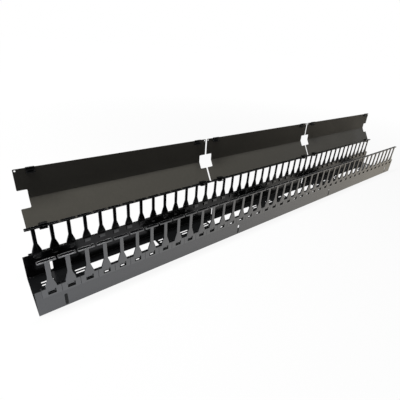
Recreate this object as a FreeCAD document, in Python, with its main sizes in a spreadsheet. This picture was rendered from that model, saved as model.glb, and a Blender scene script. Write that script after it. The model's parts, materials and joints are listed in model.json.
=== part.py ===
"""Vertical cable manager: a folded steel channel, two rows of snap-in fingers and three hinged covers.

Frame: X along the channel, Y across it with the hinge side at +Y, Z up from the channel's back,
origin at the middle of the back's outer face. The covers stand open, resting against the fingers.
"""
import FreeCAD
import Part
import Sketcher
import os

doc = FreeCAD.newDocument("cable_manager")

# Two coordinates closer than this are the same place
TOUCH = 0.001

# Driving dimensions, in millimetres and degrees
SIZES = [
    ("pitch", 44.45, "one rack unit: from finger to finger"),
    ("finger_count", 42, "fingers along each wall"),
    ("end_margin", 14.2, "channel beyond the last rack unit at each end"),
    ("channel_width", 152.4, "over both walls"),
    ("wall_height", 75, "from the back's outer face to the top of a wall"),
    ("channel_sheet", 1.5, "thickness of the channel's steel"),
    ("bend_radius", 1.5, "inside radius of every fold"),
    ("window_count", 4, "large cable windows in the back"),
    ("window_spacing", 452.4, "from window to window"),
    ("window_length", 225, "along the channel"),
    ("window_width", 95, "across the channel"),
    ("lacing_length", 32, "length of a tie slot"),
    ("lacing_width", 5.5, "width of a tie slot"),
    ("lacing_margin", 8.8, "steel between a window and the tie slot next to it"),
    ("lacing_step", 88.9, "from tie slot to tie slot at the ends"),
    ("strip_ties", 3, "tie slots a row on each strip between two windows"),
    ("end_ties", 2, "tie slots a row at each end"),
    ("lacing_outer_row", 39.3, "outer row of tie slots, from the middle"),
    ("lacing_inner_row", 27.8, "inner row of tie slots, from the middle"),
    ("bolt_slot_count", 4, "upright slots in each wall"),
    ("bolt_slot_spacing", 588.8, "from upright slot to upright slot"),
    ("bolt_slot_width", 7, "width of an upright slot"),
    ("bolt_slot_height", 34, "overall height of an upright slot"),
    ("bolt_slot_foot", 5.5, "lower end of an upright slot above the back's outer face"),
    ("latch_width", 18.5, "width of a finger's latch window"),
    ("latch_height", 13, "height of a finger's latch window"),
    ("latch_drop", 3.5, "steel left above a latch window"),
    ("flange_gap", 0.65, "between the feet of neighbouring fingers"),
    ("flange_depth", 9, "depth of a finger's foot across the wall"),
    ("flange_height", 3, "height of a finger's foot"),
    ("stem_overhang", 2.9, "finger's outer face beyond the wall's outer face"),
    ("stem_thickness", 5, "thickness of a finger"),
    ("stem_width", 10, "width of a finger's straight part"),
    ("root_width", 26, "width of a finger where it leaves its foot"),
    ("knee_width", 23.8, "width of a finger where its flare sets in"),
    ("knee_rise", 9, "that place above the wall"),
    ("flare_rise", 30, "end of the flare above the wall"),
    ("axis_rise", 80, "middle of a finger's head above the wall"),
    ("head_gap", 4.45, "between the heads of neighbouring fingers"),
    ("head_depth", 10.5, "head across the wall"),
    ("head_height", 4, "thickness of the head"),
    ("leg_length", 14, "latch leg below the wall's top"),
    ("pad_length", 10, "upright inner face of the latch leg below the wall's top"),
    ("toe_setback", 0.55, "lower end of the latch leg behind its outer face"),
    ("leg_clearance", 0.15, "between the latch leg and the wall"),
    ("latch_clearance", 0.85, "between the latch leg and each side of its window"),
    ("barb_clearance", 0.2, "between the barb and the window's upper edge"),
    ("barb_setback", 0.3, "barb's tip behind the wall's outer face"),
    ("cover_count", 3, "covers along the channel"),
    ("cover_inset", 23.65, "outer cover's end from the channel's end"),
    ("cover_gap", 6, "between neighbouring covers"),
    ("cover_sheet", 0.8, "thickness of a cover's steel"),
    ("cover_slope", 15, "slope of each half of a shut cover"),
    ("edge_reach", 4.5, "cover's long edge beyond the hinge line, along its slope"),
    ("stop_clearance", 0.35, "between an open cover's edge and the fingers that stop it"),
    ("notch_depth", 24.5, "notch at each end of the fold, along the cover"),
    ("notch_reach", 25.5, "notch on each side of the fold, down the slope"),
    ("corner_hole", 4.5, "diameter of the hole at each cover corner"),
    ("corner_inset", 5, "corner hole's centre from both edges"),
    ("clip_width", 20.5, "width of a clip along the channel"),
    ("clip_inset", 39.3, "clip's middle from the cover's end"),
    ("clip_wall", 1.95, "wall of a clip's jaw"),
    ("clip_back", 1.45, "clip between its bore and the cover"),
    ("clip_lip", 1.2, "thickness of the lip round the cover's edge"),
    ("lip_reach", 7.5, "lip's grip on the cover's outer face, from its edge"),
    ("clip_spare", 0.5, "least room between a clip and a finger"),
    ("bore_clearance", 0.43, "between a clip's bore and the head's corners"),
    ("mouth_clearance", 0.3, "between a clip's mouth and each side of the head"),
]
sheet = doc.addObject("Spreadsheet::Sheet", "sizes")
for row, (alias, value, note) in enumerate(SIZES, start=1):
    sheet.set(f"A{row}", note)
    sheet.set(f"B{row}", str(value))
    sheet.setAlias(f"B{row}", alias)
doc.recompute()

# Places worked out from the driving dimensions
LENGTH = "(sizes.finger_count * sizes.pitch + 2 * sizes.end_margin)"
WALL_OUT = "(sizes.channel_width / 2)"
WALL_IN = f"({WALL_OUT} - sizes.channel_sheet)"
HINGE_Y = f"({WALL_OUT} - sizes.channel_sheet / 2)"
HINGE_Z = "(sizes.wall_height + sizes.axis_rise)"
STEM_OUT = f"({WALL_OUT} + sizes.stem_overhang)"
FLANGE_TOP = "(sizes.wall_height + sizes.flange_height)"
HEAD_FOOT = f"({HINGE_Z} - sizes.head_height / 2)"
SLOPE = "(sizes.cover_slope * 1deg)"
BORE = "(sqrt(sizes.head_depth ^ 2 + sizes.head_height ^ 2) / 2 + sizes.bore_clearance)"
COVER_RISE = f"({BORE} + sizes.clip_back)"
COVERED = f"({LENGTH} - 2 * sizes.cover_inset - (sizes.cover_count - 1) * sizes.cover_gap)"
COVER_LENGTH = f"({COVERED} / sizes.cover_count)"

# The hinge line seen from the cover's middle, along the slope and square to it
HINGE_ALONG = f"({HINGE_Y} * cos({SLOPE}))"
HINGE_ABOVE = f"({HINGE_Y} * sin({SLOPE}))"
EDGE_ALONG = f"({HINGE_ALONG} + sizes.edge_reach)"
SHEET_ABOVE = f"({HINGE_ABOVE} + {COVER_RISE})"

# A cover opens until its edge, on its circle round the hinge line, meets the fingers' outer faces
STOP_REACH = f"({STEM_OUT} + sizes.stop_clearance - {HINGE_Y})"
EDGE_CIRCLE = f"sqrt({COVER_RISE} ^ 2 + sizes.edge_reach ^ 2)"
EDGE_LEAD = f"atan(sizes.edge_reach / {COVER_RISE})"
OPEN = f"(180deg - asin({STOP_REACH} / {EDGE_CIRCLE}) - {EDGE_LEAD} - {SLOPE})"


def measure(expression):
    """Value of an expression in millimetres or degrees."""
    return float(sheet.evalExpression(str(expression)))


def origin_part(body, role):
    """One of a body's own origin planes or axes."""
    return next(part for part in body.Origin.OriginFeatures if part.Role == role)


def new_sketch(body, name, role, lift=None, turn=None):
    """Sketch on an origin plane, moved along its normal by lift, or turned (axis, expression)."""
    sketch = body.newObject("Sketcher::SketchObject", name)
    sketch.AttachmentSupport = [(origin_part(body, role), "")]
    sketch.MapMode = "FlatFace"
    if lift:
        sketch.setExpression("AttachmentOffset.Base.z", lift)
    if turn:
        axis, angle = turn
        rotation = FreeCAD.Rotation(axis, measure(angle))
        sketch.AttachmentOffset = FreeCAD.Placement(FreeCAD.Vector(), rotation)
        sketch.setExpression("AttachmentOffset.Rotation.Angle", angle)
    return sketch


def pin_point(sketch, item, point, across, up):
    """Tie a point of a sketch to its two expressions, measured from the sketch's origin."""
    for kind, expression, axis in (("DistanceX", across, -2), ("DistanceY", up, -1)):
        if expression == "0":
            sketch.addConstraint(Sketcher.Constraint("PointOnObject", item, point, axis))
            continue
        distance = Sketcher.Constraint(kind, -1, 1, item, point, measure(expression))
        sketch.setExpression(f"Constraints[{sketch.addConstraint(distance)}]", expression)


def polygon(sketch, corners):
    """Closed outline whose corners are pairs of expressions."""
    points = [FreeCAD.Vector(measure(across), measure(up), 0) for across, up in corners]
    first = sketch.GeometryCount
    count = len(points)
    for index in range(count):
        sketch.addGeometry(Part.LineSegment(points[index], points[(index + 1) % count]))
    for index in range(count):
        following = first + (index + 1) % count
        sketch.addConstraint(Sketcher.Constraint("Coincident", first + index, 2, following, 1))
    for index, (across, up) in enumerate(corners):
        pin_point(sketch, first + index, 1, across, up)


def rectangle(sketch, left, right, low, high):
    """Outline of an upright rectangle between four expressions."""
    polygon(sketch, [(left, low), (right, low), (right, high), (left, high)])


def upright_slot(sketch, across, low, high, radius):
    """Slot between its lower and upper end, each end rounded off in three flats."""
    flat = f"{radius} * tan(22.5deg)"
    upper = [
        (f"{across} + {radius}", f"{high} - {radius} + {flat}"),
        (f"{across} + {flat}", high),
        (f"{across} - {flat}", high),
        (f"{across} - {radius}", f"{high} - {radius} + {flat}"),
    ]
    lower = [(side, f"{low} + {high} - ({up})") for side, up in reversed(upper)]
    polygon(sketch, upper + lower)


def small_hole(sketch, across, up, radius):
    """Small round hole drawn with eight flats."""
    upright_slot(sketch, across, f"({up} - {radius})", f"({up} + {radius})", radius)


def pad(body, name, sketch, length, sides="Symmetric"):
    """Solid made from a sketch, to both sides of it or to one."""
    feature = body.newObject("PartDesign::Pad", name)
    feature.Profile = sketch
    feature.SideType = sides
    feature.setExpression("Length", length)
    return feature


def cut_through(body, name, sketch):
    """Cut right through the body to both sides of a sketch."""
    feature = body.newObject("PartDesign::Pocket", name)
    feature.Profile = sketch
    feature.Type = "ThroughAll"
    feature.SideType = "Symmetric"
    return feature


def repeat(body, name, feature, count, spacing):
    """Row of a feature's copies along X, from the first one on."""
    pattern = body.newObject("PartDesign::LinearPattern", name)
    pattern.Originals = [feature]
    pattern.Direction = (origin_part(body, "X_Axis"), [""])
    pattern.Mode = "Spacing"
    pattern.setExpression("Offset", spacing)
    pattern.setExpression("Occurrences", count)
    body.Tip = pattern


def mirror(body, name, feature, role):
    """Second copy of a feature on the other side of an origin plane."""
    copy = body.newObject("PartDesign::Mirrored", name)
    copy.Originals = [feature]
    copy.MirrorPlane = (origin_part(body, role), [""])
    body.Tip = copy
    return copy


def round_edges(body, name, places, radius):
    """Round the edges whose ends and middle pass the test places(x, y, z)."""
    doc.recompute()
    base = body.Tip
    chosen = [
        f"Edge{index}"
        for index, edge in enumerate(base.Shape.Edges, start=1)
        if all(places(*point) for point in [edge.CenterOfMass] + [end.Point for end in edge.Vertexes])
    ]
    feature = body.newObject("PartDesign::Fillet", name)
    feature.Base = (base, chosen)
    feature.setExpression("Radius", radius)


def near(value, expression):
    """Whether a coordinate lies at the place that an expression gives."""
    return abs(value - measure(expression)) < TOUCH


def make_channel():
    """One folded sheet: back and two walls, with all its windows and slots."""
    body = doc.addObject("PartDesign::Body", "channel")
    section = new_sketch(body, "channel_section", "YZ_Plane")
    polygon(section, [
        (f"-{WALL_OUT}", "0"),
        (WALL_OUT, "0"),
        (WALL_OUT, "sizes.wall_height"),
        (WALL_IN, "sizes.wall_height"),
        (WALL_IN, "sizes.channel_sheet"),
        (f"-{WALL_IN}", "sizes.channel_sheet"),
        (f"-{WALL_IN}", "sizes.wall_height"),
        (f"-{WALL_OUT}", "sizes.wall_height"),
    ])
    pad(body, "folded_sheet", section, LENGTH)
    round_edges(
        body, "inner_bends",
        lambda x, y, z: near(abs(y), WALL_IN) and near(z, "sizes.channel_sheet"),
        "sizes.bend_radius")
    round_edges(
        body, "outer_bends",
        lambda x, y, z: near(abs(y), WALL_OUT) and near(z, "0"),
        "sizes.bend_radius + sizes.channel_sheet")

    middle = "(sizes.window_count - 1) / 2 * sizes.window_spacing"
    windows = new_sketch(body, "window_outline", "XY_Plane")
    rectangle(
        windows,
        f"-({middle}) - sizes.window_length / 2",
        f"-({middle}) + sizes.window_length / 2",
        "-sizes.window_width / 2",
        "sizes.window_width / 2")
    window = cut_through(body, "window", windows)
    repeat(body, "windows", window, "sizes.window_count", "sizes.window_spacing")

    # Rows of tie slots on each strip between two windows and at each end, clear of the windows
    beside_window = "(sizes.window_length / 2 + sizes.lacing_margin + sizes.lacing_length / 2)"
    strip_room = f"(sizes.window_spacing - 2 * {beside_window})"
    stations = []
    for index in range(int(measure("sizes.window_count")) - 1):
        strip = f"({index + 1} - sizes.window_count / 2) * sizes.window_spacing"
        first = f"{strip} - {strip_room} / 2"
        step = f"{strip_room} / (sizes.strip_ties - 1)"
        stations.append((f"strip_{index + 1}", first, "sizes.strip_ties", step))
    right_end = f"({middle} + {beside_window})"
    left_end = f"(-{right_end} - (sizes.end_ties - 1) * sizes.lacing_step)"
    for name, first in (("left_end", left_end), ("right_end", right_end)):
        stations.append((name, first, "sizes.end_ties", "sizes.lacing_step"))
    for name, first, count, step in stations:
        slots = new_sketch(body, f"{name}_tie_outline", "XY_Plane")
        for side in ("-", ""):
            for row in ("sizes.lacing_outer_row", "sizes.lacing_inner_row"):
                rectangle(
                    slots,
                    f"{first} - sizes.lacing_length / 2",
                    f"{first} + sizes.lacing_length / 2",
                    f"{side}{row} - sizes.lacing_width / 2",
                    f"{side}{row} + sizes.lacing_width / 2")
        cut = cut_through(body, f"{name}_tie_slots", slots)
        repeat(body, f"{name}_tie_row", cut, count, step)

    bolts = new_sketch(body, "bolt_slot_outline", "XZ_Plane")
    upright_slot(
        bolts,
        "-(sizes.bolt_slot_count - 1) / 2 * sizes.bolt_slot_spacing",
        "sizes.bolt_slot_foot",
        "(sizes.bolt_slot_foot + sizes.bolt_slot_height)",
        "(sizes.bolt_slot_width / 2)")
    bolt_slot = cut_through(body, "bolt_slot", bolts)
    repeat(body, "bolt_slots", bolt_slot, "sizes.bolt_slot_count", "sizes.bolt_slot_spacing")

    first_finger = "-(sizes.finger_count - 1) / 2 * sizes.pitch"
    latch_top = "sizes.wall_height - sizes.latch_drop"
    latches = new_sketch(body, "latch_outline", "XZ_Plane")
    rectangle(
        latches,
        f"{first_finger} - sizes.latch_width / 2",
        f"{first_finger} + sizes.latch_width / 2",
        f"{latch_top} - sizes.latch_height",
        latch_top)
    latch = cut_through(body, "latch_window", latches)
    repeat(body, "latch_windows", latch, "sizes.finger_count", "sizes.pitch")
    return body


def make_finger():
    """One moulded finger of the hinge side: foot on the wall, flared stem, flat head and latch leg."""
    body = doc.addObject("PartDesign::Body", "finger")
    foot = new_sketch(body, "foot_outline", "XY_Plane", lift="sizes.wall_height")
    rectangle(
        foot,
        "-(sizes.pitch - sizes.flange_gap) / 2",
        "(sizes.pitch - sizes.flange_gap) / 2",
        f"{STEM_OUT} - sizes.flange_depth",
        STEM_OUT)
    pad(body, "foot", foot, "sizes.flange_height", "One side")

    stem = new_sketch(body, "stem_outline", "XZ_Plane", lift=f"-{STEM_OUT}")
    right_side = [
        ("sizes.root_width / 2", FLANGE_TOP),
        ("sizes.knee_width / 2", "sizes.wall_height + sizes.knee_rise"),
        ("sizes.stem_width / 2", "sizes.wall_height + sizes.flare_rise"),
        ("sizes.stem_width / 2", HEAD_FOOT),
    ]
    left_side = [(f"-{across}", up) for across, up in reversed(right_side)]
    polygon(stem, right_side + left_side)
    pad(body, "stem", stem, "sizes.stem_thickness", "One side")

    head = new_sketch(body, "head_outline", "XY_Plane", lift=HEAD_FOOT)
    rectangle(
        head,
        "-(sizes.pitch - sizes.head_gap) / 2",
        "(sizes.pitch - sizes.head_gap) / 2",
        f"{HINGE_Y} - sizes.head_depth / 2",
        f"{HINGE_Y} + sizes.head_depth / 2")
    pad(body, "head", head, "sizes.head_height", "One side")

    # The leg's inner face is level with the foot's, and its outer face has the barb
    leg_face = f"({WALL_IN} - sizes.leg_clearance)"
    leg_back = f"({STEM_OUT} - sizes.flange_depth)"
    ledge = "(sizes.wall_height - sizes.latch_drop - sizes.barb_clearance)"
    leg = new_sketch(body, "leg_outline", "YZ_Plane")
    polygon(leg, [
        (leg_back, "sizes.wall_height"),
        (leg_back, "sizes.wall_height - sizes.pad_length"),
        (f"{leg_face} - sizes.toe_setback", "sizes.wall_height - sizes.leg_length"),
        (f"{WALL_OUT} - sizes.barb_setback", ledge),
        (leg_face, ledge),
        (leg_face, "sizes.wall_height"),
    ])
    pad(body, "leg", leg, "sizes.latch_width - 2 * sizes.latch_clearance")
    return body


def make_cover():
    """One cover, shut, seen from its own middle: a sheet folded once, its fold over Y = 0."""
    body = doc.addObject("PartDesign::Body", "cover")
    edge_y = f"({EDGE_ALONG} * cos({SLOPE}) + {SHEET_ABOVE} * sin({SLOPE}))"
    edge_z = f"({SHEET_ABOVE} * cos({SLOPE}) - {EDGE_ALONG} * sin({SLOPE}))"
    fold_z = f"({edge_z} + {edge_y} * tan({SLOPE}))"
    skin_y = f"({edge_y} + sizes.cover_sheet * sin({SLOPE}))"
    skin_z = f"({edge_z} + sizes.cover_sheet * cos({SLOPE}))"
    ridge_z = f"({fold_z} + sizes.cover_sheet / cos({SLOPE}))"
    section = new_sketch(body, "cover_section", "YZ_Plane")
    polygon(section, [
        (edge_y, edge_z),
        (skin_y, skin_z),
        ("0", ridge_z),
        (f"-{skin_y}", skin_z),
        (f"-{edge_y}", edge_z),
        ("0", fold_z),
    ])
    pad(body, "cover_sheet", section, COVER_LENGTH)
    round_edges(body, "inner_fold", lambda x, y, z: near(y, "0") and near(z, fold_z), "sizes.bend_radius")
    round_edges(
        body, "outer_fold",
        lambda x, y, z: near(y, "0") and near(z, ridge_z),
        "sizes.bend_radius + sizes.cover_sheet")

    notch_end = f"({COVER_LENGTH} / 2)"
    notch_root = f"({notch_end} - sizes.notch_depth)"
    notch_side = f"(sizes.notch_reach * cos({SLOPE}))"
    outline = new_sketch(body, "notch_outline", "XY_Plane")
    rectangle(outline, notch_root, notch_end, f"-{notch_side}", notch_side)
    notch = cut_through(body, "notch", outline)
    mirror(body, "notches", notch, "YZ_Plane")

    turn = (FreeCAD.Vector(-1, 0, 0), SLOPE)
    holes = new_sketch(body, "corner_outline", "XY_Plane", turn=turn)
    for side in ("-", ""):
        small_hole(
            holes,
            f"{side}({COVER_LENGTH} / 2 - sizes.corner_inset)",
            f"{EDGE_ALONG} - sizes.corner_inset",
            "(sizes.corner_hole / 2)")
    hole = cut_through(body, "corner_hole_pair", holes)
    mirror(body, "corner_holes", hole, "XZ_Plane")
    return body


def make_clip():
    """One clip of the hinge side on a shut cover: a jaw round the heads that grips the cover's edge."""
    body = doc.addObject("PartDesign::Body", "clip")

    def from_hinge(across, up):
        """A corner given from the hinge line."""
        return f"{HINGE_Y} + {across}", up

    def on_cover(along, above):
        """A corner given from the hinge line, along the cover's slope and square to it."""
        across = f"({along}) * cos({SLOPE}) + ({above}) * sin({SLOPE})"
        return from_hinge(across, f"({above}) * cos({SLOPE}) - ({along}) * sin({SLOPE})")

    wall = f"({BORE} + sizes.clip_wall)"
    flat = f"({BORE} * tan(22.5deg))"
    mouth = "(sizes.head_depth / 2 + sizes.mouth_clearance)"
    tooth = f"({flat} + {BORE} - {mouth})"
    cheek = f"(({COVER_RISE} + {wall} * sin({SLOPE})) / cos({SLOPE}))"
    skin = f"{COVER_RISE} + sizes.cover_sheet"
    lip_top = f"{skin} + sizes.clip_lip"
    lip_end = "sizes.edge_reach + sizes.clip_lip"
    lip_start = "sizes.edge_reach - sizes.lip_reach"
    grip = [
        from_hinge(mouth, f"-{BORE}"),
        from_hinge(wall, f"-{BORE}"),
        from_hinge(wall, flat),
        on_cover(lip_end, lip_top),
        on_cover(lip_start, lip_top),
        on_cover(lip_start, skin),
        on_cover("sizes.edge_reach", skin),
        on_cover("sizes.edge_reach", COVER_RISE),
        from_hinge(f"-{wall}", cheek),
        from_hinge(f"-{wall}", f"-{BORE}"),
        from_hinge(f"-{mouth}", f"-{BORE}"),
    ]
    # Seven sides of an eight-sided bore, with a tooth at each side of the mouth
    bore_half = [(mouth, f"-{tooth}"), (BORE, f"-{flat}"), (BORE, flat), (flat, BORE)]
    left = [from_hinge(f"-{across}", up) for across, up in bore_half]
    right = [from_hinge(across, up) for across, up in reversed(bore_half)]
    profile = new_sketch(body, "clip_section", "YZ_Plane")
    polygon(profile, grip + left + right)
    pad(body, "clip_length", profile, "sizes.clip_width")
    return body


def mirrored(source, name):
    """The same form on the other side of the middle plane Y = 0."""
    copy = doc.addObject("Part::Mirroring", name)
    copy.Source = source
    copy.Normal = FreeCAD.Vector(0, 1, 0)
    return copy


def place(source, label, across, open_cover=False):
    """One finished piece: a form set at its place along X, swung open with its cover if it rides on one."""
    piece = doc.addObject("App::Link", label)
    piece.LinkedObject = source
    piece.Label = label
    if open_cover:
        rotation = FreeCAD.Rotation(FreeCAD.Vector(-1, 0, 0), measure(OPEN))
        piece.Placement = FreeCAD.Placement(FreeCAD.Vector(), rotation)
        piece.setExpression("Placement.Rotation.Angle", OPEN)
        piece.setExpression("Placement.Base.y", f"{HINGE_Y} * (1 - cos({OPEN}))")
        piece.setExpression("Placement.Base.z", f"{HINGE_Z} + {HINGE_Y} * sin({OPEN})")
    piece.setExpression("Placement.Base.x", across)
    return piece


def clip_place(middle, side):
    """A clip near its cover's end, kept in the gap between two stems."""
    wanted = f"({middle} {side} ({COVER_LENGTH} / 2 - sizes.clip_inset))"
    gap_index = f"round({wanted} / sizes.pitch + sizes.finger_count / 2)"
    gap = f"(({gap_index} - sizes.finger_count / 2) * sizes.pitch)"
    room = "((sizes.pitch - sizes.stem_width - sizes.clip_width) / 2 - sizes.clip_spare)"
    return f"{gap} + max(min({wanted} - {gap}; {room}); -{room})"


# The forms, each made once
channel = make_channel()
finger = make_finger()
cover = make_cover()
clip = make_clip()
far_finger = mirrored(finger, "far_finger")
far_clip = mirrored(clip, "far_clip")
finger_pair = doc.addObject("Part::Compound", "finger_pair")
finger_pair.Links = [finger, far_finger]
doc.recompute()

# The finished pieces
pieces = [channel]
finger_count = int(measure("sizes.finger_count"))
for index in range(finger_count):
    across = f"({index} - (sizes.finger_count - 1) / 2) * sizes.pitch"
    pieces.append(place(finger_pair, f"finger_pair_{index + 1:02d}", across))
for index in range(int(measure("sizes.cover_count"))):
    number = index + 1
    middle = f"(({index} - (sizes.cover_count - 1) / 2) * ({COVER_LENGTH} + sizes.cover_gap))"
    pieces.append(place(cover, f"cover_{number}", middle, open_cover=True))
    for letter, side in (("a", "-"), ("b", "+")):
        spot = clip_place(middle, side)
        pieces.append(place(clip, f"hinge_clip_{number}{letter}", spot, open_cover=True))
        pieces.append(place(far_clip, f"latch_clip_{number}{letter}", spot, open_cover=True))
doc.recompute()

# Nothing is written unless every feature and every piece is sound
for item in doc.Objects:
    if "Invalid" in item.State or "Error" in item.State:
        raise RuntimeError(f"{item.Label} failed: {item.State}")
os.makedirs("parts", exist_ok=True)
for piece in pieces:
    shape = Part.getShape(piece)
    if shape.isNull() or not shape.isValid():
        raise RuntimeError(f"{piece.Label} has no sound shape")
    shape.exportStep(f"parts/{piece.Label}.step")
print(f"{len(pieces)} pieces, covers open by {measure(OPEN):.3f} degrees")
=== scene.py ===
# %% [markdown]
# A vertical cable manager: a folded steel channel that stands beside a rack, two rows of moulded fingers
# that snap into its walls, and three folded covers that swing on the fingers' heads.
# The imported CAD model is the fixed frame. It already has every size and every joint, so this lesson only
# dresses it: softened sheet edges, true round slots, hollow moulded heads, and paint.

# %% Load the frame
import json
import math

import bmesh
import bpy
import numpy as np
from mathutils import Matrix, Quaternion, Vector
from mathutils.geometry import tessellate_polygon


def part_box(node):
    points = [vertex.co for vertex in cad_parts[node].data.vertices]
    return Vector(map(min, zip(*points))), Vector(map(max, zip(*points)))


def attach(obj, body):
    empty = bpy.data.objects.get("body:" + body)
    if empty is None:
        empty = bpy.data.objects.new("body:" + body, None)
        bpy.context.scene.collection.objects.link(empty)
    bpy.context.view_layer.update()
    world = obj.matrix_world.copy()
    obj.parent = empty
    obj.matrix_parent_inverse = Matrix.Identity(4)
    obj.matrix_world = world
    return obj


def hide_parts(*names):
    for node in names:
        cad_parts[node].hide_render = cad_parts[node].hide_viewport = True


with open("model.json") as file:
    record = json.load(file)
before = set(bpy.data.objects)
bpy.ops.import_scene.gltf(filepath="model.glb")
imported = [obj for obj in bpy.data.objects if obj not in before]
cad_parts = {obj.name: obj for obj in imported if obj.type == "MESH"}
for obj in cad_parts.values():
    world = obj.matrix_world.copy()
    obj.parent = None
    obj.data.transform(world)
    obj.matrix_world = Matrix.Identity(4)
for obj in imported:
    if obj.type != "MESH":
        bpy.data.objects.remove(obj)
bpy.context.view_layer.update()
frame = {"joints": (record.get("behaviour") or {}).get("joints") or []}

# %% [markdown]
# Every piece below is worked out in millimetres, as a maker would read a drawing, and turned into metres
# at the last moment. A few outlines are enough for the whole object: a rectangle with sharp or rounded
# corners, an outline drawn a little smaller, and one with its corners cut off. They could be drawn by hand,
# but as formulas they follow every change of a size. The largest sizes are read from the CAD model.

# %% Outlines
MM = 0.001
X, Y, Z = np.eye(3)
HALF_LENGTH, WALL_OUT, WALL_TOP = np.array(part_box("channel")[1]) / MM


def rectangle(low, high):
    """Rectangle from low to high as its four corners, anticlockwise from low."""
    return np.array([low, (high[0], low[1]), high, (low[0], high[1])])


def rounded_loop(low, high, radius, steps=3):
    """Rectangle from low to high with rounded corners, as points that run anticlockwise.

    Each corner is a quarter circle: its centre lies one radius inside the corner, and its points are the
    centre plus the radius times the cosine and sine of an angle."""
    low, high = np.asarray(low, float), np.asarray(high, float)
    quarter = np.linspace(0, np.pi / 2, steps + 1)
    angle = (quarter + np.arange(4)[:, None] * np.pi / 2).ravel()
    corner = np.repeat([[1, 1], [-1, 1], [-1, -1], [1, -1]], steps + 1, axis=0)
    centre = (low + high) / 2 + corner * ((high - low) / 2 - radius)
    return centre + radius * np.stack([np.cos(angle), np.sin(angle)], axis=1)


def inset(loop, widths):
    """Outline with each side moved inwards by its own width.

    Side i runs from corner i to corner i + 1, and its inward normal is that step turned a quarter left.
    A corner lands where its two moved sides cross, which is the answer to two linear equations."""
    widths = np.broadcast_to(np.asarray(widths, float), len(loop))
    step = np.roll(loop, -1, axis=0) - loop
    normal = np.stack([-step[:, 1], step[:, 0]], axis=1) / np.linalg.norm(step, axis=1, keepdims=True)
    last, last_width = np.roll(normal, 1, axis=0), np.roll(widths, 1)
    cross = last[:, 0] * normal[:, 1] - last[:, 1] * normal[:, 0]
    shift_x = (last_width * normal[:, 1] - widths * last[:, 1]) / cross
    shift_y = (last[:, 0] * widths - normal[:, 0] * last_width) / cross
    return loop + np.stack([shift_x, shift_y], axis=1)


def chamfered(outline, size):
    """Outline with each corner cut off: two points in its place, each a little way along one of its sides."""
    before, after = np.roll(outline, 1, axis=0) - outline, np.roll(outline, -1, axis=0) - outline
    before, after = (side / np.linalg.norm(side, axis=1, keepdims=True) for side in (before, after))
    return np.stack([outline + size * before, outline + size * after], axis=1).reshape(-1, 2)


print("a rounded rectangle has", len(rounded_loop((0, 0), (10, 10), 1)), "points")

# %% [markdown]
# A solid is a skin stretched through a row of closed loops: the loops give the points, and a grid of
# four-cornered faces joins each loop to the next. Blender's own primitives would need many edits to come
# this far, while a skin takes any row of loops that have the same number of points.

# %% Skins
MERGE_WITHIN = 0.002


def grid_faces(rows, columns, start=0):
    """Four-cornered faces of a tube: its points are numbered row by row, and each row is a closed loop."""
    row = np.arange(rows - 1)[:, None]
    column = np.arange(columns)[None, :]
    here = row * columns + column
    beside = row * columns + (column + 1) % columns
    faces = np.stack([here, beside, beside + columns, here + columns], axis=-1)
    return start + faces.reshape(-1, 4)


def skin(loops):
    """Closed skin through a stack of loops (rows, points, xyz), with the first and last loop filled."""
    rows, columns = loops.shape[:2]
    faces = grid_faces(rows, columns).tolist()
    faces.append(list(range(columns))[::-1])
    faces.append(list(range((rows - 1) * columns, rows * columns)))
    return loops.reshape(-1, 3), faces


def flat_loops(loops, heights):
    """Plan loops (x, y) set at their heights, as a stack for a skin."""
    return np.stack([np.column_stack([loop, np.full(len(loop), z)]) for loop, z in zip(loops, heights)])


def carried(section, low_x, high_x, soft):
    """Solid bar as a skin: a section (y, z) carried along X, drawn a little smaller at its two ends."""
    small = inset(section, soft)
    rows = ((low_x, small), (low_x + soft, section), (high_x - soft, section), (high_x, small))
    return skin(np.stack([np.column_stack([np.full(len(loop), x), loop]) for x, loop in rows]))


def mesh_of(name, parts):
    """One mesh from (points, faces) parts: joined where they meet, with every face turned outwards."""
    points = np.concatenate([part for part, _ in parts])
    starts = np.cumsum([0] + [len(part) for part, _ in parts])
    faces = [
        tuple(int(start + corner) for corner in face)
        for start, (_, group) in zip(starts, parts)
        for face in group
    ]
    mesh = bpy.data.meshes.new(name)
    mesh.from_pydata((points * MM).tolist(), [], faces)
    work = bmesh.new()
    work.from_mesh(mesh)
    bmesh.ops.remove_doubles(work, verts=work.verts, dist=MERGE_WITHIN * MM)
    bmesh.ops.recalc_face_normals(work, faces=work.faces)
    work.to_mesh(mesh)
    work.free()
    return mesh


print("a tube of 3 loops with 8 points each has", len(grid_faces(3, 8)), "faces")

# %% [markdown]
# Finishes come before the pieces that wear them. Colours are written as the hex values that a paint chart
# would give, and one function turns them into the linear numbers that a shader works with. Nodes could be
# set by hand in the editor; one small function that adds a node with its links keeps a material readable.

# %% Colours and nodes
def linear(hex_colour):
    """sRGB hex to linear RGBA: a straight toe below 0.04045, a power of 2.4 above it."""
    srgb = np.array([int(hex_colour[i:i + 2], 16) for i in (1, 3, 5)]) / 255
    value = np.where(srgb <= 0.04045, srgb / 12.92, ((srgb + 0.055) / 1.055) ** 2.4)
    return (*value.tolist(), 1.0)


def add_node(tree, kind, inputs=None, **settings):
    """Add one node: settings are its properties, and an input is a socket to link or a value to set."""
    node = tree.nodes.new(kind)
    for key, value in settings.items():
        setattr(node, key, value)
    for key, value in (inputs or {}).items():
        if isinstance(value, bpy.types.NodeSocket):
            tree.links.new(value, node.inputs[key])
        else:
            node.inputs[key].default_value = value
    return node


def new_material(name):
    """Empty node material with its output and its Object coordinates, in metres of the shared frame."""
    material = bpy.data.materials.new(name)
    material.use_nodes = True
    tree = material.node_tree
    tree.nodes.clear()
    output = add_node(tree, "ShaderNodeOutputMaterial")
    place = add_node(tree, "ShaderNodeTexCoord").outputs["Object"]
    return material, tree, output, place


print("mid grey #777777 is", round(linear("#777777")[0], 4), "in linear light")

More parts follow.
